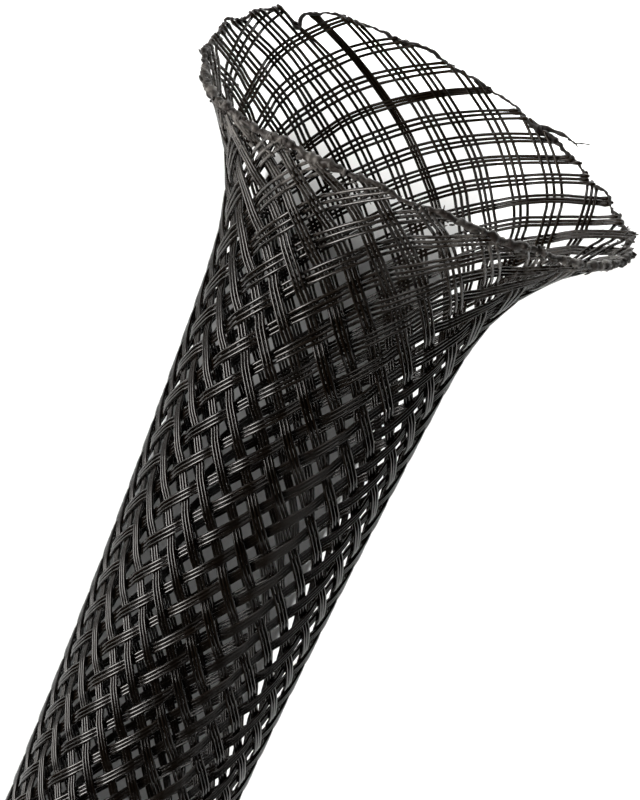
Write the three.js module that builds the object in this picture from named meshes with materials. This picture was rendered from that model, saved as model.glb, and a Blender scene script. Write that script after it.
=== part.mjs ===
import * as THREE from 'three';

// Expandable braided cable sleeve, cut from a roll: one thin-walled open tube of black
// monofilament braid with one plain end and one end flared open into an oval mouth.
// Millimetres, +Z up. It lies along X on the plane z = 0 with its mouth at +X.

// Straight tube
const sleeveLength = 305; // plain end to the lowest point of the mouth
const tubeRadius = 8.8; // outer radius far from the mouth
const wallThickness = 0.6; // two crossed layers of filament with their crimp

// Slow widening of the tube ahead of the flare
const wideningRise = 1.9; // added to the radius once the tube is fully widened
const wideningReach = 25; // distance along the tube over which it happens

// Flared mouth, an oval that stands out at the sides and the top
const flareLength = 24; // length of tube that opens out, along the underside
const sideRise = 7.5; // how far the rim stands out from the tube at each side
const topRise = 4; // how far it stands up above the tube at the top
const sideSetback = 1.3; // extra distance that the flare draws the rim back at the sides
const topSetback = 5.6; // how far the top of the rim lies behind its lowest point
const askewCut = 0.9; // how far the cut leads on the +Y side and lags on the -Y side
const flareCurl = 3.8; // power of the flare's curve: higher opens later and more sharply

// Openings of the braid, as a plain grid in bricklike rows. The real braid's are finer.
const openingsRound = 12;
const openingRows = 36;
const openShare = 0.62; // share of a row's length that its openings take
const rowCrowding = 1.25; // higher makes the rows shorter towards the mouth

const plainEndX = -sleeveLength / 2;
const mouthX = sleeveLength / 2;
const flareStartX = mouthX - flareLength;
const facetsRound = 2 * openingsRound; // every second facet of a row is open
const halfFacet = Math.PI / facetsRound;

// Outer radius of the round tube at a place along X
function tubeRadiusAt(x) {
  const along = (2 * (x - flareStartX)) / wideningReach;
  return tubeRadius + wideningRise / (1 + Math.exp(-along));
}

// How far the mouth's edge is moved along X by the cut, at an angle from the top
function cutShift(angle) {
  const upward = (1 + Math.cos(angle)) / 2;
  const sideways = Math.sin(angle);
  return askewCut * sideways - sideSetback * sideways ** 2 - topSetback * upward;
}

// One point of the outer skin, at a distance from the plain end and an angle from the top.
// The section is a circle that opens into two half ovals, a high one above a flat one. The
// centre line rises as the tube widens, so that the underside stays level at z = 0.
function outerPoint(distance, angle) {
  const opened = Math.max(distance - (flareStartX - plainEndX), 0) / flareLength;
  const x = plainEndX + distance + cutShift(angle) * opened;
  const flare = opened ** flareCurl;
  const radius = tubeRadiusAt(x);
  const halfWidth = radius + sideRise * flare;
  const halfHeight = Math.cos(angle) > 0 ? radius + topRise * flare : radius;
  const centreHeight = radius * Math.cos(halfFacet);
  const y = halfWidth * Math.sin(angle);
  return new THREE.Vector3(x, y, centreHeight + halfHeight * Math.cos(angle));
}

// The outward direction of the skin, square to it along the tube and round it
function outward(distance, angle) {
  const step = 0.001;
  const along = outerPoint(distance + step, angle).sub(outerPoint(distance - step, angle));
  const round = outerPoint(distance, angle + step).sub(outerPoint(distance, angle - step));
  return along.cross(round).normalize();
}

// A point of the wall, the inset being how deep it lies under the outer skin
function wallPoint(distance, angle, inset) {
  return outerPoint(distance, angle).addScaledVector(outward(distance, angle), -inset);
}

// Distance from the plain end at which a row of openings begins
function rowStart(row) {
  return sleeveLength * (1 - (1 - row / openingRows) ** rowCrowding);
}

// Distances of the rings: both ends of the tube, and both ends of each row's openings
function ringDistances() {
  const distances = [0];
  for (let row = 0; row < openingRows; row += 1) {
    const length = rowStart(row + 1) - rowStart(row);
    const hoop = (length * (1 - openShare)) / 2;
    distances.push(rowStart(row) + hoop, rowStart(row + 1) - hoop);
  }
  distances.push(sleeveLength);
  return distances;
}

// Whether a facet is an opening. The strips between rings are hoop and row by turns, and
// the openings of one row stand beside those of the next.
function isOpening(strip, facet) {
  return strip % 2 === 1 && (facet + (strip - 1) / 2) % 2 === 0;
}

// The closed wall: an outer and an inner face, walls round each opening, and both ends
function sleeveWall() {
  const distances = ringDistances();
  const skinSize = distances.length * facetsRound;
  const positions = [];
  for (const inset of [0, wallThickness]) {
    for (const distance of distances) {
      for (let facet = 0; facet < facetsRound; facet += 1) {
        const angle = (2 * facet + 1) * halfFacet;
        positions.push(...wallPoint(distance, angle, inset).toArray());
      }
    }
  }
  const indices = [];
  const addQuad = (a, b, c, d) => indices.push(a, b, c, a, c, d);
  const addWall = (a, b) => addQuad(a, b, b + skinSize, a + skinSize);
  const lastStrip = distances.length - 2;
  for (let strip = 0; strip <= lastStrip; strip += 1) {
    for (let facet = 0; facet < facetsRound; facet += 1) {
      const beside = (facet + 1) % facetsRound;
      const here = strip * facetsRound;
      const next = here + facetsRound;
      const corners = [here + facet, next + facet, next + beside, here + beside];
      if (isOpening(strip, facet)) {
        corners.forEach((corner, side) => addWall(corner, corners[(side + 1) % 4]));
      } else {
        addQuad(...corners);
        addQuad(...corners.map((corner) => corner + skinSize).reverse());
      }
      if (strip === 0) addWall(here + facet, here + beside);
      if (strip === lastStrip) addWall(next + beside, next + facet);
    }
  }
  const geometry = new THREE.BufferGeometry();
  geometry.setAttribute('position', new THREE.Float32BufferAttribute(positions, 3));
  geometry.setIndex(indices);
  geometry.computeVertexNormals();
  return geometry;
}

// Black PET monofilament, slightly glossy
function blackMonofilament() {
  return new THREE.MeshStandardMaterial({ color: 0x1b1b1d, roughness: 0.35, metalness: 0 });
}

function braidedSleeve() {
  const sleeve = new THREE.Mesh(sleeveWall(), blackMonofilament());
  sleeve.name = 'braided_sleeve';
  return sleeve;
}

const part = new THREE.Group();
part.add(braidedSleeve());

export default part;
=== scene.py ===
"""Expandable braided cable sleeve with one flared, hot-cut mouth, woven strand by strand.

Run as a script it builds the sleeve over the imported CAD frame. Lengths are metres, angles
radians, +Z up, and an angle round the sleeve is measured from its top towards +Y.
"""

import math

import bpy
import numpy as np
from mathutils import Matrix, Vector


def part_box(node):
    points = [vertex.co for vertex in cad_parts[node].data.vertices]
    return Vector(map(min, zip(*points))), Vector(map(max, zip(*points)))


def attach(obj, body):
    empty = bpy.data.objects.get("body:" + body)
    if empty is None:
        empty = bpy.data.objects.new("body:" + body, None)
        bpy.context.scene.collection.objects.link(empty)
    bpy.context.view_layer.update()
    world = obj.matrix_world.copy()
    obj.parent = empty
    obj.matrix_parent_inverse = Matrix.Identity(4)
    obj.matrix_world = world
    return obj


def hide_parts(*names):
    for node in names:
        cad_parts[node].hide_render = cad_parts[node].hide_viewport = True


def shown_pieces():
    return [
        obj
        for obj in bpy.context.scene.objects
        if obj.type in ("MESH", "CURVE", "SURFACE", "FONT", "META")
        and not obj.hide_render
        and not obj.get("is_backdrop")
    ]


bl_info = {
    "name": "Braided Cable Sleeve",
    "version": (1, 0, 0),
    "blender": (4, 5, 0),
    "location": "3D View > Sidebar > Cable Sleeve",
    "description": "Weaves an expandable sleeve of black monofilament with a flared mouth",
    "category": "Add Mesh",
}

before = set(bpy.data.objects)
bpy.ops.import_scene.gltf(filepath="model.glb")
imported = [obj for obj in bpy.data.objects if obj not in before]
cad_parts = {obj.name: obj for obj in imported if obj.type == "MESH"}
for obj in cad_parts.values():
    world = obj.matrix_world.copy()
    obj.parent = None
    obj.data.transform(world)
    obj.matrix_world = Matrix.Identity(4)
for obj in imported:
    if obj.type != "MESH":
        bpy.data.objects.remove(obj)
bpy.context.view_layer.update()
NODE = "braided_sleeve"
NODE_LOW, NODE_HIGH = (np.array(corner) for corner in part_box(NODE))
MM = 0.001
PER_MM = 1000  # turns a pattern's repeats in a millimetre into repeats in a metre

PIECES_A_HAND = 4
STRAND_SIDES = 6
RIM_SIDES = 8

# How the cut wanders along X: its cycles round the mouth, and its cosine and sine in mm
RIM_BENDS = ((0, -0.40, 0.0), (1, -0.52, -0.50), (2, 0.51, -0.47), (3, 0.07, 0.16))
# The knife's tremors along X: cycles round the mouth, reach in mm, and phase
RIM_TREMORS = ((17, 0.10, 0.0), (29, 0.08, 1.0))
# Lumps of the melted bead: cycles round the sleeve, and reach as a share of its radius
BEAD_LUMPS = ((9, 0.2), (23, 0.2), (57, 0.2), (91, 0.2), (139, 0.2), (201, 0.15))

# A Mix node's sockets go by number, because their names repeat
FACTOR, FIRST_COLOUR, SECOND_COLOUR, MIXED_COLOUR = 0, 6, 7, 2

FLOOR_HALF = 2.5
FLOOR_ALBEDO = 0.9
PANEL_HEIGHT = 0.06
SOFTBOX_DISTANCE = 0.9
LAMP_COLOUR = (1.0, 0.965, 0.925)
PICTURE_HEIGHT = 800  # in pixels
FOCAL_LENGTH = 1675  # in pixels
SENSOR_HEIGHT = 36.0  # in mm


# Sizes and colours a user may change


def length(name, description, millimetres):
    """A length property, given here in millimetres and kept in metres."""
    return bpy.props.FloatProperty(
        name=name,
        description=description,
        default=millimetres * MM,
        precision=5,
        unit="LENGTH",
    )


def colour(name, description, sheet):
    """A colour property, given as an sRGB hex value and kept linear."""
    return bpy.props.FloatVectorProperty(
        name=name,
        description=description,
        default=linear(sheet),
        size=4,
        min=0.0,
        max=1.0,
        subtype="COLOR",
    )


def linear(sheet):
    """Turns an sRGB hex value into linear red, green and blue with full alpha."""
    coded = np.array([int(sheet[i : i + 2], 16) for i in (1, 3, 5)]) / 255
    light = np.where(coded > 0.04045, ((coded + 0.055) / 1.055) ** 2.4, coded / 12.92)
    return (*light.tolist(), 1.0)


class SleeveShape(bpy.types.PropertyGroup):
    """The tube and its flared mouth"""

    sleeve_length: length("Length", "Plain end to the lowest point of the mouth", 305)
    tube_radius: length("Tube radius", "Outer radius far from the mouth", 8.8)
    wall: length("Wall", "Two crossed layers of strand with their crimp", 0.6)
    widening_rise: length("Widening", "Radius gained once the tube is fully widened", 1.9)
    widening_reach: length("Widening reach", "Length over which the tube widens", 25)
    flare_length: length("Flare length", "Length of tube that opens out", 24)
    side_rise: length("Side rise", "How far the rim stands out at each side", 7.5)
    top_rise: length("Top rise", "How far the rim stands up at the top", 4)
    side_setback: length("Side setback", "How far the flare draws back at the sides", 1.3)
    top_setback: length("Top setback", "How far the top of the rim lies back", 5.6)
    askew_cut: length("Askew cut", "How far the cut leads on the +Y side", 0.9)
    flare_curl: bpy.props.FloatProperty(
        name="Flare curl",
        description="Power of the flare's curve: higher opens later and more sharply",
        default=3.8,
    )


class BraidWeave(bpy.types.PropertyGroup):
    """The bands of strands and how they are wound"""

    carriers: bpy.props.IntProperty(
        name="Carriers", description="Bands of strands wound each way", default=26
    )
    strands: bpy.props.IntProperty(
        name="Strands", description="Strands side by side in a band", default=3
    )
    strand_diameter: length("Strand diameter", "Diameter of one monofilament", 0.25)
    strand_spacing: length("Strand spacing", "Centre to centre within a band", 0.263)
    crimp: length("Crimp", "How far a strand rides above or below mid-wall", 0.15)
    locked_radius: length("Locked radius", "Radius at which strands would run round", 15.7)
    steepest: bpy.props.FloatProperty(
        name="Steepest angle",
        description="Most that a strand leans from the sleeve's axis",
        default=math.radians(50),
        subtype="ANGLE",
    )
    first_column: bpy.props.FloatProperty(
        name="First column",
        description="Angle from the top at which the columns of floats are counted",
        default=math.radians(-11.3),
        subtype="ANGLE",
    )
    start_turn: bpy.props.FloatProperty(
        name="Start turn",
        description="How far the bands have turned where the flare begins",
        default=0.0,
        subtype="ANGLE",
    )


class SleeveFinish(bpy.types.PropertyGroup):
    """The colours of the strands and of their melted ends"""

    strand_black: colour("Strand black", "Black PET in the body of a strand", "#080503")
    # Painted backlight: this brown stands in for light through the thin strands where the flare
    # opens them
    painted_backlight_brown: colour("Strand brown", "Where the opened strands let light in", "#46382a")
    fused_grey: colour("Fused grey", "Frosted grey of the melted edge", "#7a7671")
    fused_brown: colour("Fused brown", "Scorched brown in the melted edge", "#1f140c")


class StudioStage(bpy.types.PropertyGroup):
    """The floor and the lamps"""

    floor_white: colour("Floor", "Plain pale floor", "#f4f4f2")
    backdrop: bpy.props.FloatProperty(
        name="Backdrop", description="Brightness of the even white behind it all", default=1.0
    )
    key: bpy.props.FloatProperty(
        name="Key", description="Radiance of the key softbox", default=14.0
    )
    fill: bpy.props.FloatProperty(
        name="Fill", description="Radiance of the upper softbox", default=2.8
    )
    ground: bpy.props.FloatProperty(
        name="Ground", description="Brightness of the open floor round the sleeve", default=1.1
    )
    shade: bpy.props.FloatProperty(
        name="Shade", description="Brightness of the floor under the sleeve", default=0.07
    )


# Shape of the wall


def mouth_end(shape):
    """Where along X the lowest point of the mouth lies."""
    return NODE_LOW[0] + shape.sleeve_length


def flare_start(shape):
    """Where along X the tube begins to open out."""
    return mouth_end(shape) - shape.flare_length


def opened_share(x, shape):
    """How far through the flare a place lies, from zero at its start to one at its end."""
    return np.clip((x - flare_start(shape)) / shape.flare_length, 0, 1)


def tube_radius_at(x, shape):
    """Outer radius of the round tube: the plain radius plus a widening that rises along a
    logistic curve centred where the flare begins."""
    along = 2 * (x - flare_start(shape)) / shape.widening_reach
    return shape.tube_radius + shape.widening_rise / (1 + np.exp(-along))


def cut_shift(angle, shape):
    """How far the cut moves the mouth along X: a sine for the askew cut, less a squared sine
    for the sides and a raised cosine for the top."""
    side = np.sin(angle)
    return (
        shape.askew_cut * side
        - shape.side_setback * side**2
        - shape.top_setback * (1 + np.cos(angle)) / 2
    )


def skin(x, angle, shape):
    """A point of the outer skin. The section is a circle that opens into two half ovals by a
    power of the way through the flare, while its underside stays on the floor."""
    flare_length = shape.flare_length + cut_shift(angle, shape)
    flare = (np.maximum(x - flare_start(shape), 0) / flare_length) ** shape.flare_curl
    radius = tube_radius_at(x, shape)
    width = radius + shape.side_rise * flare
    height = radius + np.where(np.cos(angle) > 0, shape.top_rise * flare, 0)
    return np.stack(
        [x + 0 * angle, width * np.sin(angle), radius + height * np.cos(angle)], -1
    )


def along_and_round(x, angle, shape):
    """Slopes of the skin along X and round the sleeve, by central differences."""
    step = 0.01 * MM
    along = (skin(x + step, angle, shape) - skin(x - step, angle, shape)) / (2 * step)
    turn = 0.001
    sweep = (skin(x, angle + turn, shape) - skin(x, angle - turn, shape)) / (2 * turn)
    return along, sweep


def unit(vectors):
    """Vectors of the same directions and of length one."""
    return vectors / np.linalg.norm(vectors, axis=-1, keepdims=True)


def outward_at(x, angle, shape):
    """The direction square to the skin and out of the sleeve: the cross product of its
    slopes along X and round the sleeve."""
    return unit(np.cross(*along_and_round(x, angle, shape)))


# The cut, as a hand-held hot knife leaves it


def bell(angle, middle, width):
    """One at an angle round the sleeve, falling to zero on both sides along a bell curve.
    The middle and the width are in degrees."""
    off = (angle - math.radians(middle) + np.pi) % (2 * np.pi) - np.pi
    return np.exp(-((off / math.radians(width)) ** 2))


def rim_at(angle, shape):
    """Where the mouth ends: the cut of the CAD solid, plus slow bends and short tremors that
    are cosines and sines of the angle, less one narrow notch on the underside."""
    wave = 0
    for cycles, cosine, sine in RIM_BENDS:
        wave = wave + cosine * np.cos(cycles * angle) + sine * np.sin(cycles * angle)
    for cycles, reach, phase in RIM_TREMORS:
        wave = wave + reach * np.sin(cycles * angle + phase)
    notch = 1.1 * bell(angle, 138.5, 2.2)
    return mouth_end(shape) + cut_shift(angle, shape) + (wave - notch) * MM


def upper_share(angle):
    """One on the upper side of the mouth, which the knife met first, falling smoothly to zero
    on its underside: a smooth step of the cosine of the angle."""
    low, high = -0.35, 0.20
    step = np.clip((np.cos(angle) - low) / (high - low), 0, 1)
    return step * step * (3 - 2 * step)


def crust_share(angle):
    """How crusty the melted edge is: the upper side's share, less a bell curve in its middle,
    where the knife left a thin, dark edge."""
    return upper_share(angle) * (1 - 0.8 * bell(angle, -5, 16))


# Weave


def winding(shape, weave):
    """How far the bands have turned at each place along X, and how far they lean there. A
    band leans by the angle whose sine is the radius over the locked radius, held below the
    steepest angle by a smooth minimum. Its turning is the running sum, along the meridian, of
    that angle's tangent over the radius."""
    x = np.linspace(NODE_LOW[0] - 5 * MM, mouth_end(shape) + 8 * MM, 6000)
    flare_length = shape.flare_length - shape.top_setback / 2
    flare = (np.maximum(x - flare_start(shape), 0) / flare_length) ** shape.flare_curl
    radius = tube_radius_at(x, shape) - shape.wall / 2
    radius = radius + flare * (shape.side_rise + shape.top_rise / 2) / 2
    power = -10
    leans = (radius / weave.locked_radius) ** power + math.sin(weave.steepest) ** power
    lean = np.arcsin(leans ** (1 / power))
    rate = np.tan(lean) / radius * np.hypot(1, np.gradient(radius, x))
    turned = np.concatenate([[0], np.cumsum((rate[1:] + rate[:-1]) / 2 * np.diff(x))])
    turned = turned - np.interp(flare_start(shape), x, turned) + weave.start_turn
    return x, turned, lean


def drift(rng, place, cycles):
    """Smooth seeded wandering between about -1 and 1, one row for each strand: the mean of
    three sine waves of random phase and length."""
    rows = place.shape[0]
    total = 0
    for _ in range(3):
        pace = cycles * rng.uniform(0.5, 1.5, (rows, 1))
        total = total + np.sin(pace * place + rng.uniform(0, 2 * np.pi, (rows, 1)))
    return total / 2.2


def strand_places(hand, shape, weave, rng):
    """Centre lines of one hand's strands: X, angle round the sleeve, height over mid-wall.

    A band's angle is its share of the circle plus hand times how far it has turned. A strand
    lies beside the band's middle by its place in the band, over the skin's width per radian
    times the cosine of the lean. Its height is a flattened cosine of the angle, two crossings
    up and two down, so that the floats stand in columns along the sleeve."""
    pitch = 2 * np.pi / weave.carriers
    table_x, table_turn, table_lean = winding(shape, weave)
    table_rate = np.gradient(table_turn, table_x)
    count = weave.carriers * weave.strands
    band = np.repeat(np.arange(weave.carriers), weave.strands)[:, None]
    place = np.arange(weave.strands) - (weave.strands - 1) / 2
    place = np.tile(place, weave.carriers)[:, None]

    def turned_at(x):
        return np.interp(x, table_x, table_turn)

    def middle_at(turned):
        return band * pitch + hand * turned + weave.first_column

    def width_at(x, angle):
        _, sweep = along_and_round(x, angle, shape)
        return np.linalg.norm(sweep, axis=-1) * np.cos(np.interp(x, table_x, table_lean))

    # A few bands stay bundled in the flare. The others open, and more so in the left hand.
    bundled = rng.uniform(0, 1, weave.carriers) < 0.11
    least, most = (0.45, 0.9) if hand > 0 else (0.75, 1.45)
    loose = np.where(bundled, 0, rng.uniform(least, most, weave.carriers))
    loose = loose.repeat(weave.strands)[:, None]

    # Each strand ends near the cut at its own angle, found by correcting its end in turns.
    end_x = np.full((count, 1), NODE_HIGH[0])
    poke = rng.uniform(-0.10, 0.16, (count, 1)) * MM
    for _ in range(14):
        turned_end = turned_at(end_x)
        middle = middle_at(turned_end)
        off = place * weave.strand_spacing * (1.05 + loose) / width_at(end_x, middle)
        end_x = rim_at(middle + off, shape) + poke
    start_x = NODE_LOW[0] + rng.uniform(-0.1, 0.2, (count, 1)) * MM
    turned_start = turned_at(start_x)

    # Rings stand four to a crossing far from the mouth and eight to a crossing near it.
    close = turned_at(mouth_end(shape) - 62 * MM)
    far_rings = int((close - turned_at(NODE_LOW[0])) / (pitch / 4))
    near_rings = int((turned_at(NODE_HIGH[0]) - close) / (pitch / 8))
    far = np.linspace(0, 1, far_rings)[None, :-1]
    near = np.linspace(0, 1, near_rings)[None, :]
    turned = np.concatenate(
        [turned_start + (close - turned_start) * far, close + (turned_end - close) * near], 1
    )

    # Two more rings stand just inside each end, where the tips swell.
    tips = np.array([0.9, 0.45]) * weave.strand_diameter
    turned = np.concatenate(
        [
            turned[:, :1],
            turned[:, :1] + np.interp(start_x, table_x, table_rate) * tips[::-1],
            turned[:, 1:-1],
            turned[:, -1:] - np.interp(end_x, table_x, table_rate) * tips,
            turned[:, -1:],
        ],
        1,
    )
    x = np.interp(turned, table_turn, table_x)

    # The strands of a band spread, the band sways, and each strand wanders a little.
    opened = opened_share(x, shape)
    spread = 1 + opened * (0.05 + loose)
    spread = spread + 0.10 * np.maximum(drift(rng, turned, 1.3), 0)
    sway = drift(rng, turned[:: weave.strands], 0.9).repeat(weave.strands, 0)
    beside = place * weave.strand_spacing * spread
    beside = beside + sway * (0.03 + 0.10 * opened) * MM
    beside = beside + drift(rng, turned, 2.1) * (0.006 + 0.045 * opened) * MM
    middle = middle_at(turned)
    shift = beside / width_at(x, middle)
    angle = middle + shift

    # What the wandering puts past the cut is drawn back over the last quarter of a radian.
    over = x[:, -1:] - rim_at(angle[:, -1:], shape) - poke
    x = x - over * np.clip(1 - (turned[:, -1:] - turned) / 0.25, 0, 1) ** 2

    wave = np.pi * (angle - shift / 2 - weave.first_column) / pitch - np.pi / 4
    flat = 2.2
    height = hand * weave.crimp * np.tanh(flat * np.cos(wave)) / math.tanh(flat)
    height = height + drift(rng, turned, 1.7) * 0.008 * MM
    return x, angle, height


def strand_rings(x, angle, height, shape, weave):
    """Rings of points round each centre line, which lies half a wall under the skin, raised
    by its height. The last rings of each end swell and then round off, as melted tips do."""
    outward = outward_at(x, angle, shape)
    line = skin(x, angle, shape) + outward * (height - shape.wall / 2)[..., None]
    radius = np.full(x.shape[1], weave.strand_diameter / 2)
    swelling = np.array([0.75, 1.5, 1.2])
    radius[:3] *= swelling
    radius[-3:] *= swelling[::-1]
    forward = unit(np.gradient(line, axis=1))
    return rings_round(line, forward, outward, radius[:, None], STRAND_SIDES)


# Mesh making


def rings_round(line, forward, outward, radius, sides):
    """Rings of points round the points of a line. Each is a regular polygon square to the
    line's forward direction, with one corner on its outward side: a corner is the middle plus
    the radius times up by the cosine and across by the sine of its turn. The radius is given
    by ring and corner."""
    across = unit(np.cross(forward, outward))[..., None, :]
    up = np.cross(across, forward[..., None, :])
    turn = (np.arange(sides) * 2 * np.pi / sides)[:, None]
    spokes = up * np.cos(turn) + across * np.sin(turn)
    return line[..., None, :] + spokes * radius[..., None]


def tubes(name, rings, tone, melt, closed_loop=False):
    """A mesh of tubes from points numbered by tube, ring and corner. Quads join each ring to
    the next. One flat face closes each end, or the last ring joins the first. What would dip
    below the floor is flattened on to it.

    The UV map gives each tube a strip of its own, its length along U and its girth along V.
    Two attributes, given by tube and ring, say how brown a tube is, from its own tone and from
    painted backlight, and how far it melted."""
    count, stations, sides, _ = rings.shape
    rings[..., 2] = np.maximum(rings[..., 2], 0)
    here = np.arange(count * stations * sides).reshape(count, stations, sides)
    ends = ((here[:, 0], 0.0), (here[:, -1, ::-1], 1.0))
    ahead = np.roll(here, -1, 1)
    if not closed_loop:
        ahead, here = ahead[:, :-1], here[:, :-1]
    quads = np.stack([here, ahead, np.roll(ahead, -1, 2), np.roll(here, -1, 2)], -1)
    corners = [quads.ravel()]
    totals = [np.full(quads[..., 0].size, 4)]

    steps = np.arange(quads.shape[1] + 1) / quads.shape[1]
    strip = 0.9  # share of a strip's height that its tube takes
    rows = (np.arange(count)[:, None] + np.arange(sides + 1) / sides * strip) / count
    u = np.stack([steps[:-1], steps[1:], steps[1:], steps[:-1]], -1)
    v = np.stack([rows[:, :-1], rows[:, :-1], rows[:, 1:], rows[:, 1:]], -1)
    u = np.broadcast_to(u[None, :, None, :], quads.shape)
    v = np.broadcast_to(v[:, None], quads.shape)
    uv = [np.stack([u, v], -1).reshape(-1, 2)]

    if not closed_loop:
        for cap, place in ends:
            corners.append(cap.ravel())
            totals.append(np.full(count, sides))
            girth = np.broadcast_to(rows[:, :-1], cap.shape).ravel()
            uv.append(np.stack([np.full(girth.shape, place), girth], -1))
    corners = np.concatenate(corners)
    totals = np.concatenate(totals)

    mesh = bpy.data.meshes.new(name)
    mesh.vertices.add(count * stations * sides)
    mesh.vertices.foreach_set("co", rings.astype(np.float32).ravel())
    mesh.loops.add(corners.size)
    mesh.loops.foreach_set("vertex_index", corners.astype(np.int32))
    mesh.polygons.add(totals.size)
    mesh.polygons.foreach_set("loop_start", (np.cumsum(totals) - totals).astype(np.int32))
    mesh.polygons.foreach_set("use_smooth", np.ones(totals.size, bool))
    layer = mesh.uv_layers.new(name="strip")
    layer.uv.foreach_set("vector", np.concatenate(uv).astype(np.float32).ravel())
    for label, values in (("tone_and_backlight", tone), ("melt", melt)):
        attribute = mesh.attributes.new(label, "FLOAT", "POINT")
        attribute.data.foreach_set("value", values.ravel().repeat(sides).astype(np.float32))
    mesh.update()
    mesh.validate()
    return mesh


def add_piece(mesh, material):
    """Adds a finished piece that stands for the CAD solid."""
    mesh.materials.append(material)
    piece = bpy.data.objects.new(mesh.name, mesh)
    bpy.context.scene.collection.objects.link(piece)
    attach(piece, "root")
    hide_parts(NODE)


# Materials


def node(tree, kind, settings=None, inputs=None):
    """Adds a shader node, sets its properties, and sets or links each input by its name or
    number."""
    made = tree.nodes.new(kind)
    for name, value in (settings or {}).items():
        setattr(made, name, value)
    for key, value in (inputs or {}).items():
        if isinstance(value, bpy.types.NodeSocket):
            tree.links.new(value, made.inputs[key])
        else:
            made.inputs[key].default_value = value
    return made


def new_material(name):
    """A material with an empty node tree."""
    material = bpy.data.materials.get(name) or bpy.data.materials.new(name)
    material.use_nodes = True
    tree = material.node_tree
    tree.nodes.clear()
    return material, tree


def extruded_pet_monofilament(finish):
    """Extruded and drawn black PET. Gives one narrow, clean highlight along each strand, with
    faint draw lines in it, a black that turns brown as painted backlight, standing in for light
    through the strands where the flare opens them, and frosted grey where the knife melted
    them."""
    material, tree = new_material("extruded_pet_monofilament")
    place = node(tree, "ShaderNodeTexCoord")
    # Real draw lines are too fine to show at this scale. These are drawn coarser so that
    # they show: about five round a strand, 0.16 mm apart and some millimetres long.
    strip = node(
        tree,
        "ShaderNodeMapping",
        inputs={"Vector": place.outputs["UV"], "Scale": (60.0, 110.0, 1.0)},
    )
    lines = node(
        tree,
        "ShaderNodeTexNoise",
        inputs={
            "Vector": strip.outputs["Vector"],
            "Scale": 1.0,
            "Detail": 2.0,
            "Roughness": 0.6,
        },
    )
    # Handling leaves brighter and duller patches 5 to 6 mm long.
    patches = node(
        tree,
        "ShaderNodeTexNoise",
        inputs={
            "Vector": place.outputs["Object"],
            "Scale": 0.18 * PER_MM,
            "Detail": 3.0,
            "Roughness": 0.6,
        },
    )
    # Melt sets in blotches 1.1 mm long, with grains down to 0.1 mm.
    crust = node(
        tree,
        "ShaderNodeTexNoise",
        inputs={
            "Vector": place.outputs["Object"],
            "Scale": 0.9 * PER_MM,
            "Detail": 4.0,
            "Roughness": 0.65,
        },
    )
    # Painted backlight: the attribute holds a random tone plus a brown share for light through
    # the opened strands, and turns the black that far towards brown
    tone = node(tree, "ShaderNodeAttribute", {"attribute_name": "tone_and_backlight"})
    brown = node(
        tree,
        "ShaderNodeMath",
        {"operation": "MULTIPLY"},
        {0: tone.outputs["Fac"], 1: patches.outputs["Fac"]},
    )
    body = node(
        tree,
        "ShaderNodeMix",
        {"data_type": "RGBA"},
        {
            FACTOR: brown.outputs[0],
            FIRST_COLOUR: finish.strand_black,
            SECOND_COLOUR: finish.painted_backlight_brown,
        },
    )
    speckle = node(
        tree,
        "ShaderNodeMapRange",
        inputs={"Value": crust.outputs["Fac"], "From Min": 0.42, "From Max": 0.6},
    )
    melt = node(tree, "ShaderNodeAttribute", {"attribute_name": "melt"})
    frost = node(
        tree,
        "ShaderNodeMath",
        {"operation": "MULTIPLY"},
        {0: melt.outputs["Fac"], 1: speckle.outputs["Result"]},
    )
    frosted = node(
        tree,
        "ShaderNodeMix",
        {"data_type": "RGBA"},
        {
            FACTOR: frost.outputs[0],
            FIRST_COLOUR: body.outputs[MIXED_COLOUR],
            SECOND_COLOUR: finish.fused_grey,
        },
    )
    gloss = node(
        tree,
        "ShaderNodeMapRange",
        inputs={
            "Value": patches.outputs["Fac"],
            "From Min": 0.3,
            "From Max": 0.7,
            "To Min": 0.13,
            "To Max": 0.22,
        },
    )
    # Frost adds up to 0.35 to the roughness.
    dulled = node(
        tree,
        "ShaderNodeMath",
        {"operation": "MULTIPLY_ADD"},
        {0: frost.outputs[0], 1: 0.35, 2: gloss.outputs["Result"]},
    )
    bump = node(
        tree,
        "ShaderNodeBump",
        inputs={"Height": lines.outputs["Fac"], "Strength": 0.08, "Distance": 0.004 * MM},
    )
    shader = node(
        tree,
        "ShaderNodeBsdfPrincipled",
        inputs={
            "Base Color": frosted.outputs[MIXED_COLOUR],
            "Roughness": dulled.outputs[0],
            "Normal": bump.outputs["Normal"],
            "IOR": 1.57,
            "Metallic": 0.0,
        },
    )
    node(tree, "ShaderNodeOutputMaterial", inputs={"Surface": shader.outputs["BSDF"]})
    return material


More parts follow.
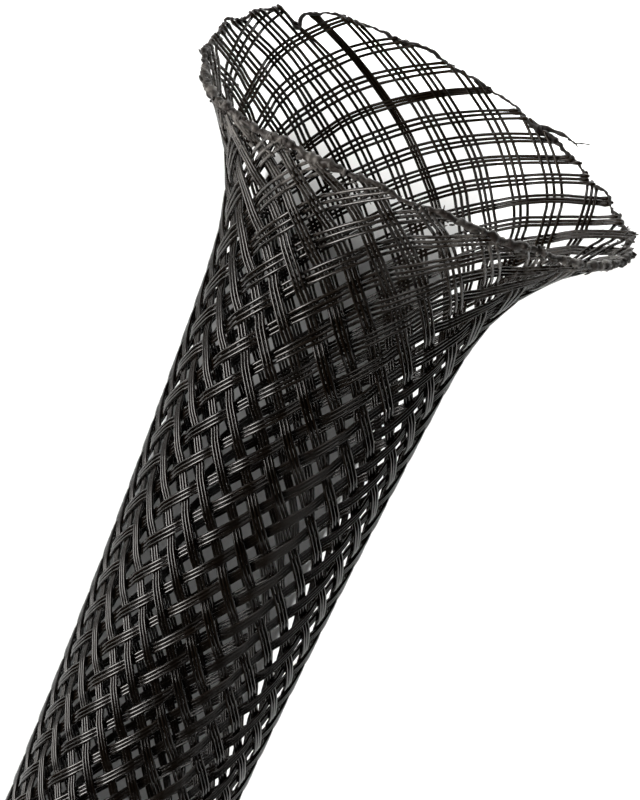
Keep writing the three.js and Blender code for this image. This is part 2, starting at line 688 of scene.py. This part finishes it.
def hot_cut_pet_edge(finish):
    """PET melted by the hot knife and set again. Gives a lumpy, frosted grey edge with
    scorched brown in blotches, far rougher than the drawn strands."""
    material, tree = new_material("hot_cut_pet_edge")
    place = node(tree, "ShaderNodeTexCoord")
    # Grey and brown lie in blotches 1.4 mm long.
    blotches = node(
        tree,
        "ShaderNodeTexNoise",
        inputs={
            "Vector": place.outputs["Object"],
            "Scale": 0.7 * PER_MM,
            "Detail": 4.0,
            "Roughness": 0.65,
        },
    )
    # Lumps are about as wide as one strand, 0.29 mm.
    lumps = node(
        tree,
        "ShaderNodeTexNoise",
        inputs={
            "Vector": place.outputs["Object"],
            "Scale": 3.5 * PER_MM,
            "Detail": 3.0,
            "Roughness": 0.6,
        },
    )
    speckle = node(
        tree,
        "ShaderNodeMapRange",
        inputs={"Value": blotches.outputs["Fac"], "From Min": 0.45, "From Max": 0.62},
    )
    melt = node(tree, "ShaderNodeAttribute", {"attribute_name": "melt"})
    frost = node(
        tree,
        "ShaderNodeMath",
        {"operation": "MULTIPLY"},
        {0: speckle.outputs["Result"], 1: melt.outputs["Fac"]},
    )
    body = node(
        tree,
        "ShaderNodeMix",
        {"data_type": "RGBA"},
        {
            FACTOR: frost.outputs[0],
            FIRST_COLOUR: finish.fused_brown,
            SECOND_COLOUR: finish.fused_grey,
        },
    )
    gloss = node(
        tree,
        "ShaderNodeMapRange",
        inputs={"Value": lumps.outputs["Fac"], "To Min": 0.42, "To Max": 0.65},
    )
    bump = node(
        tree,
        "ShaderNodeBump",
        inputs={"Height": lumps.outputs["Fac"], "Strength": 0.7, "Distance": 0.06 * MM},
    )
    shader = node(
        tree,
        "ShaderNodeBsdfPrincipled",
        inputs={
            "Base Color": body.outputs[MIXED_COLOUR],
            "Roughness": gloss.outputs["Result"],
            "Normal": bump.outputs["Normal"],
            "IOR": 1.57,
            "Metallic": 0.0,
        },
    )
    node(tree, "ShaderNodeOutputMaterial", inputs={"Surface": shader.outputs["BSDF"]})
    return material


def matt_white_floor(stage):
    """Matt white laminate. Gives an even pale ground with no reflection of the sleeve."""
    material, tree = new_material("matt_white_floor")
    shader = node(
        tree,
        "ShaderNodeBsdfPrincipled",
        inputs={"Base Color": stage.floor_white, "Roughness": 0.9, "IOR": 1.45},
    )
    node(tree, "ShaderNodeOutputMaterial", inputs={"Surface": shader.outputs["BSDF"]})
    return material


# Strands


def weave_hand(context, hand, name, seed):
    """Weaves one hand's strands, in a few pieces so that each stays light enough. A strand has
    a random tone of its own, and more painted backlight, a brown that stands in for light
    through it, the further the flare has opened it, mostly on the underside. Its melting dies
    away by an exponential law with the distance from the cut."""
    scene = context.scene
    shape, weave = scene.sleeve_shape, scene.sleeve_weave
    material = extruded_pet_monofilament(scene.sleeve_finish)
    rng = np.random.default_rng(seed)
    x, angle, height = strand_places(hand, shape, weave, rng)
    rings = strand_rings(x, angle, height, shape, weave)
    from_cut = np.maximum(rim_at(angle, shape) - x, 0)
    melt = crust_share(angle) * np.exp(-from_cut / (2.6 * MM))
    # Painted backlight: the share of brown for light through the strands grows as the flare
    # opens them, and is smaller on the upper side
    backlit_share = opened_share(x, shape) * (1 - 0.75 * upper_share(angle))
    tone = 0.2 * rng.uniform(0, 1, (x.shape[0], 1)) + 0.8 * backlit_share
    shares = np.array_split(np.arange(rings.shape[0]), PIECES_A_HAND)
    for number, share in enumerate(shares, 1):
        add_piece(tubes(f"{name}_{number}", rings[share], tone[share], melt[share]), material)


class SLEEVE_OT_weave_right_hand(bpy.types.Operator):
    """Weave the bands that wind towards +Y on their way to the mouth"""

    bl_idname = "sleeve.weave_right_hand"
    bl_label = "Weave Right-Hand Strands"
    bl_options = {"REGISTER", "UNDO"}

    def execute(self, context):
        weave_hand(context, 1, "right_hand_strands", 11)
        return {"FINISHED"}


class SLEEVE_OT_weave_left_hand(bpy.types.Operator):
    """Weave the bands that wind towards -Y on their way to the mouth"""

    bl_idname = "sleeve.weave_left_hand"
    bl_label = "Weave Left-Hand Strands"
    bl_options = {"REGISTER", "UNDO"}

    def execute(self, context):
        weave_hand(context, -1, "left_hand_strands", 23)
        return {"FINISHED"}


# Cut ends


def fused_ring(name, x, angle, shape, thickness, melt, rng):
    """A closed bead along a cut end. Its middle follows the cut at mid-wall. Its radius is
    the bead's own, swollen and pinched by seeded sine waves round the sleeve, each a little
    out of step from corner to corner."""
    outward = outward_at(x, angle, shape)
    line = skin(x, angle, shape) - outward * shape.wall / 2
    forward = unit(np.roll(line, -1, 0) - np.roll(line, 1, 0))
    steps = (np.arange(RIM_SIDES) * 2 * np.pi / RIM_SIDES).round()
    lumps = 0
    for cycles, reach in BEAD_LUMPS:
        phase = rng.uniform(0, 2 * np.pi)
        twist = rng.uniform(-1, 1) * steps
        lumps = lumps + reach * np.sin(cycles * angle[:, None] + phase + twist)
    radius = np.maximum(thickness * (1 + lumps), thickness * 0.3)
    rings = rings_round(line, forward, outward, radius, RIM_SIDES)
    return tubes(name, rings[None], melt[None], melt[None], closed_loop=True)


def melted_nubs(name, shape, rng):
    """Small melted tips and crumbs along the upper side of the mouth. Each is a short spindle
    lying near the wall's plane at a random turn, its radius a half ellipse along its length.
    They thin out by an exponential law with the distance from the cut."""
    count = 520
    widest = math.radians(112)
    angle = rng.uniform(-widest, widest, (count, 1))
    x = rim_at(angle, shape) + 0.12 * MM - rng.exponential(0.55, (count, 1)) * MM
    along, sweep = along_and_round(x, angle, shape)
    outward = unit(np.cross(along, sweep))
    ahead = unit(along)
    aside = np.cross(outward, ahead)
    lie = rng.uniform(0, 2 * np.pi, (count, 1, 1))
    rise = rng.uniform(-0.35, 0.35, (count, 1, 1))
    forward = unit(ahead * np.cos(lie) + aside * np.sin(lie) + outward * rise)
    depth = rng.uniform(-0.22, 0.30, (count, 1, 1)) * MM - shape.wall / 2
    reach = rng.uniform(0.10, 0.34, (count, 1, 1)) * MM
    crust = crust_share(angle)
    girth = rng.uniform(0.05, 0.15, (count, 1)) * (0.4 + 0.6 * crust) * MM
    steps = np.array([-1.0, -0.7, 0.0, 0.7, 1.0])
    line = skin(x, angle, shape) + outward * depth + forward * reach * steps[:, None]
    radius = girth * np.sqrt(1.06 - steps**2)
    rings = rings_round(line, forward, outward, radius[..., None], STRAND_SIDES)
    melt = np.broadcast_to(crust, radius.shape)
    return tubes(name, rings, melt, melt)


def torn_tail(name, shape):
    """A torn end of melt with two fine hairs drawn out of it, as the knife left them. Each
    runs on round the mouth, stands further off the cut as it goes, curls by a sine, and thins
    by the fourth power of the way along it."""
    steps = np.linspace(0, 1, 24)
    start, reach, stand, climb, curl, cycles, base, thinning = (
        np.array(column)[:, None]
        for column in (
            (204.5, 214.6, 216.4),  # where it starts, in degrees round the mouth
            (11.0, 3.6, 2.6),  # how far round it runs, in degrees
            (0.0, 0.55, 0.65),  # how far off the cut it starts, mm
            (0.65, 0.25, 0.75),  # how much further off it gets, mm
            (0.05, 0.1, 0.1),  # height of its curl, mm
            (2.0, 4.5, 3.4),  # turns of its curl, in radians
            (0.22, 0.07, 0.06),  # its radius at the start, mm
            (0.9, 0.6, 0.6),  # share of that radius lost at its tip
        )
    )
    angle = np.radians(start + reach * steps)
    outside = stand + climb * steps + curl * steps * np.sin(cycles * steps)
    line = skin(rim_at(angle, shape) + outside * MM, angle, shape)
    line[..., 2] += 0.3 * outside * MM
    forward = unit(np.gradient(line, axis=1))
    upward = np.array([0.0, 0.0, 1.0])
    ripple = 1 + 0.25 * np.sin(19 * steps)
    radius = base * (1 - thinning * steps**4) * ripple * MM
    rings = rings_round(line, forward, upward, radius[..., None], STRAND_SIDES)
    return tubes(name, rings, np.full(angle.shape, 0.5), np.full(angle.shape, 0.2))


class SLEEVE_OT_fuse_cut_ends(bpy.types.Operator):
    """Melt the strand tips together along both cut ends"""

    bl_idname = "sleeve.fuse_cut_ends"
    bl_label = "Fuse Cut Ends"
    bl_options = {"REGISTER", "UNDO"}

    def execute(self, context):
        scene = context.scene
        shape = scene.sleeve_shape
        material = hot_cut_pet_edge(scene.sleeve_finish)
        rng = np.random.default_rng(37)
        angle = np.linspace(0, 2 * np.pi, 1100, endpoint=False)

        # The mouth's bead is thickest where it is crusty, and where a clump has torn off.
        mouth = rim_at(angle, shape) - 0.05 * MM
        crust = crust_share(angle)
        clump = np.clip(1 - ((np.degrees(angle) - 210) / 5.5) ** 2, 0, 1)
        bead = (0.13 + 0.12 * crust + 0.12 * clump)[:, None] * MM
        add_piece(
            fused_ring("mouth_fused_rim", mouth, angle, shape, bead, crust, rng), material
        )
        add_piece(melted_nubs("mouth_melted_nubs", shape, rng), material)
        add_piece(torn_tail("mouth_torn_tail", shape), material)

        plain = np.full(angle.shape, NODE_LOW[0] + 0.15 * MM)
        bead = np.full((angle.size, 1), 0.15 * MM)
        melt = np.full(angle.shape, 0.3)
        add_piece(
            fused_ring("plain_end_fused_rim", plain, angle, shape, bead, melt, rng), material
        )
        return {"FINISHED"}


# Stage


def aim(position, target, roll=0.0):
    """A placing whose -Z looks from position to target, turned about that line by roll, with
    its X as near to -Y as it can be before that turn."""
    back = (Vector(position) - Vector(target)).normalized()
    level = Vector((0, -1, 0))
    right = (level - back * level.dot(back)).normalized()
    up = back.cross(right)
    turned = Matrix((right, up, back)).transposed().to_4x4() @ Matrix.Rotation(roll, 4, "Z")
    turned.translation = position
    return turned


def add_lamp(name, kind, lit):
    """Adds a lamp that lights one collection and isn't seen itself."""
    lamp = bpy.data.objects.new(name, bpy.data.lights.new(name, kind))
    bpy.context.scene.collection.objects.link(lamp)
    lamp.visible_camera = False
    lamp.light_linking.receiver_collection = lit
    return lamp


def softbox(name, bearing, size, radiance, target, sleeve):
    """A rectangular area lamp of a given radiance that faces the target and lights the
    sleeve. Its bearing is its angle from +X towards +Y and its height over the
    floor, both in degrees. Its power is the radiance times pi and its area."""
    lamp = add_lamp(name, "AREA", sleeve)
    lamp.data.shape = "RECTANGLE"
    lamp.data.size, lamp.data.size_y = size
    lamp.data.energy = radiance * math.pi * size[0] * size[1]
    lamp.data.color = LAMP_COLOUR
    turn, rise = (math.radians(part) for part in bearing)
    away = (math.cos(turn) * math.cos(rise), math.sin(turn) * math.cos(rise), math.sin(rise))
    lamp.matrix_world = aim(Vector(target) + Vector(away) * SOFTBOX_DISTANCE, target)


def floor_panel(name, low, high, brightness, ground):
    """A grid-fronted panel straight over a rectangle of the floor, which it lights evenly to a
    brightness. It reaches the floor alone, and what stands between them casts no shadow. Its
    power is the brightness times pi over the floor's albedo, for each square metre."""
    size = (high[0] - low[0], high[1] - low[1])
    lamp = add_lamp(name, "AREA", ground)
    lamp.data.shape = "RECTANGLE"
    lamp.data.size, lamp.data.size_y = size
    lamp.data.spread = math.radians(0.6)
    lamp.data.energy = brightness * math.pi / FLOOR_ALBEDO * size[0] * size[1]
    lamp.location = ((low[0] + high[0]) / 2, (low[1] + high[1]) / 2, PANEL_HEIGHT)
    lamp.light_linking.blocker_collection = ground


def floor_spot(name, centre, radius, brightness, softness, ground):
    """A round pool of light on the floor alone, from half a metre above it, past the braid. Its
    power is four pi times the brightness over the floor's albedo, pi and the height squared."""
    height = 0.5
    lamp = add_lamp(name, "SPOT", ground)
    lamp.data.energy = 4 * math.pi * brightness * math.pi / FLOOR_ALBEDO * height**2
    lamp.data.spot_size = 2 * math.atan(radius / height)
    lamp.data.spot_blend = softness
    lamp.data.shadow_soft_size = 0.005
    lamp.location = (*centre, height)
    lamp.light_linking.blocker_collection = ground


def add_floor(stage):
    """Adds the floor, a flat square with the sleeve in its middle."""
    half = FLOOR_HALF
    mesh = bpy.data.meshes.new("floor")
    corners = [(-half, -half, 0), (half, -half, 0), (half, half, 0), (-half, half, 0)]
    mesh.from_pydata(corners, [], [(0, 1, 2, 3)])
    mesh.materials.append(matt_white_floor(stage))
    floor = bpy.data.objects.new("floor", mesh)
    bpy.context.scene.collection.objects.link(floor)
    floor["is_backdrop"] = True
    return floor


def add_surround(stage):
    """Sets the even white that is seen behind it all and lights nothing."""
    world = bpy.data.worlds.new("studio_surround")
    bpy.context.scene.world = world
    world.use_nodes = True
    background = world.node_tree.nodes["Background"]
    background.inputs["Color"].default_value = (1.0, 1.0, 1.0, 1.0)
    background.inputs["Strength"].default_value = stage.backdrop
    world.cycles_visibility.diffuse = False
    world.cycles_visibility.glossy = False


def add_camera(target):
    """Adds the camera, close over the mouth. It leans 18 degrees from straight above towards
    the mouth's side, and its roll sets the sleeve aslant in the picture."""
    lean = math.radians(18)
    roll = math.radians(23.95)
    distance = 0.125
    data = bpy.data.cameras.new("camera")
    data.sensor_fit = "VERTICAL"
    data.sensor_height = SENSOR_HEIGHT
    data.lens = SENSOR_HEIGHT * FOCAL_LENGTH / PICTURE_HEIGHT
    data.clip_start = 0.005
    data.clip_end = 20.0
    camera = bpy.data.objects.new("camera", data)
    bpy.context.scene.collection.objects.link(camera)
    back = Vector((math.sin(lean), 0, math.cos(lean)))
    camera.matrix_world = aim(Vector(target) + back * distance, target, roll)
    bpy.context.scene.camera = camera


class SLEEVE_OT_set_stage(bpy.types.Operator):
    """Set up the pale floor, the studio lights and the camera"""

    bl_idname = "sleeve.set_stage"
    bl_label = "Set Stage"
    bl_options = {"REGISTER", "UNDO"}

    def execute(self, context):
        stage = context.scene.sleeve_stage
        floor = add_floor(stage)
        add_surround(stage)
        sleeve = bpy.data.collections.new("sleeve_only")
        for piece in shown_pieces():
            sleeve.objects.link(piece)
        ground = bpy.data.collections.new("floor_only")
        ground.objects.link(floor)

        target = (0.1276, -0.0016, 0.010)
        key, fill = stage.key, stage.fill
        softbox("key_softbox", (115, 30), (0.6, 0.35), key, target, sleeve)
        softbox("upper_softbox", (55, 45), (0.35, 0.3), fill, target, sleeve)
        softbox("side_softbox", (-110, 28), (0.5, 0.25), 0.4 * fill, target, sleeve)

        # The open floor is even and white. The strip under the tube stays dark, and two pools
        # light what is seen of it through the mouth and through the neck.
        half, white = FLOOR_HALF, stage.ground
        end, mouth, right, left = -0.153, 0.150, -0.0066, 0.0094
        floor_panel("left_panel", (-half, left), (half, half), white, ground)
        floor_panel("right_panel", (-half, -half), (half, right), white, ground)
        floor_panel("mouth_panel", (mouth, right), (half, left), white, ground)
        floor_panel("end_panel", (-half, right), (end, left), white, ground)
        floor_panel("under_panel", (end, right), (mouth, left), stage.shade, ground)
        floor_spot("mouth_spot", (0.167, 0.0), 0.0265, white, 0.1, ground)
        floor_spot("neck_spot", (0.126, 0.0065), 0.006, 0.15 * white, 0.8, ground)

        add_camera(target)
        context.scene.view_settings.view_transform = "Standard"
        return {"FINISHED"}


class SLEEVE_PT_panel(bpy.types.Panel):
    """Lists the operators and the sizes and colours that they read"""

    bl_label = "Cable Sleeve"
    bl_idname = "SLEEVE_PT_panel"
    bl_space_type = "VIEW_3D"
    bl_region_type = "UI"
    bl_category = "Cable Sleeve"

    def draw(self, context):
        for operator in OPERATORS:
            self.layout.operator(operator.bl_idname)
        for name in GROUPS:
            group = getattr(context.scene, name)
            box = self.layout.box()
            for setting in group.__annotations__:
                box.prop(group, setting)


GROUPS = {
    "sleeve_shape": SleeveShape,
    "sleeve_weave": BraidWeave,
    "sleeve_finish": SleeveFinish,
    "sleeve_stage": StudioStage,
}
OPERATORS = (
    SLEEVE_OT_weave_right_hand,
    SLEEVE_OT_weave_left_hand,
    SLEEVE_OT_fuse_cut_ends,
    SLEEVE_OT_set_stage,
)


def register():
    for made in (*GROUPS.values(), *OPERATORS, SLEEVE_PT_panel):
        bpy.utils.register_class(made)
    for name, group in GROUPS.items():
        setattr(bpy.types.Scene, name, bpy.props.PointerProperty(type=group))


def unregister():
    for name in GROUPS:
        delattr(bpy.types.Scene, name)
    for made in reversed((*GROUPS.values(), *OPERATORS, SLEEVE_PT_panel)):
        bpy.utils.unregister_class(made)


def main():
    register()
    bpy.ops.sleeve.weave_right_hand()
    bpy.ops.sleeve.weave_left_hand()
    bpy.ops.sleeve.fuse_cut_ends()
    bpy.ops.sleeve.set_stage()


if __name__ == "__main__":
    main()
